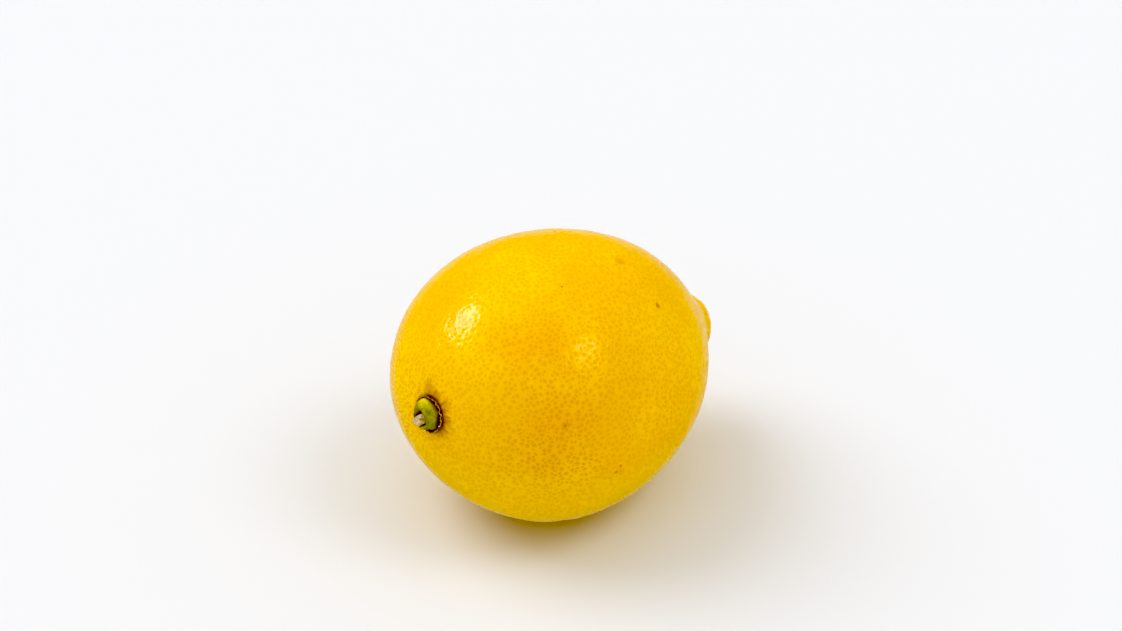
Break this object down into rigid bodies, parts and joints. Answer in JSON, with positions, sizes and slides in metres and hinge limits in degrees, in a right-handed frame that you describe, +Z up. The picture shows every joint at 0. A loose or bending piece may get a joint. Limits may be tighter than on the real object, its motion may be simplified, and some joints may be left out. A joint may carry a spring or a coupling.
{
  "type": "lemon",
  "caption": "Whole fresh lemon lying on its side, with a blunt nipple at one end and a green calyx with a cut stem at the other.",
  "frame": {"origin": "on the surface the lemon rests on, under the middle of its outline", "axes": "+Z up, +X along the lemon's length from the stem end to the nipple, with the nipple a little lower than the stem"},
  "size_m": [0.0764, 0.0592, 0.0567],
  "materials": {
    "rind": "waxy, finely pitted, semi-gloss",
    "calyx": "matt green with a dry brown rim",
    "stem": "dry broken fibres"
  },
  "bodies": {
    "root": {"fruit": "rind", "calyx": "calyx", "stem_stub": "stem"}
  },
  "joints": []
}
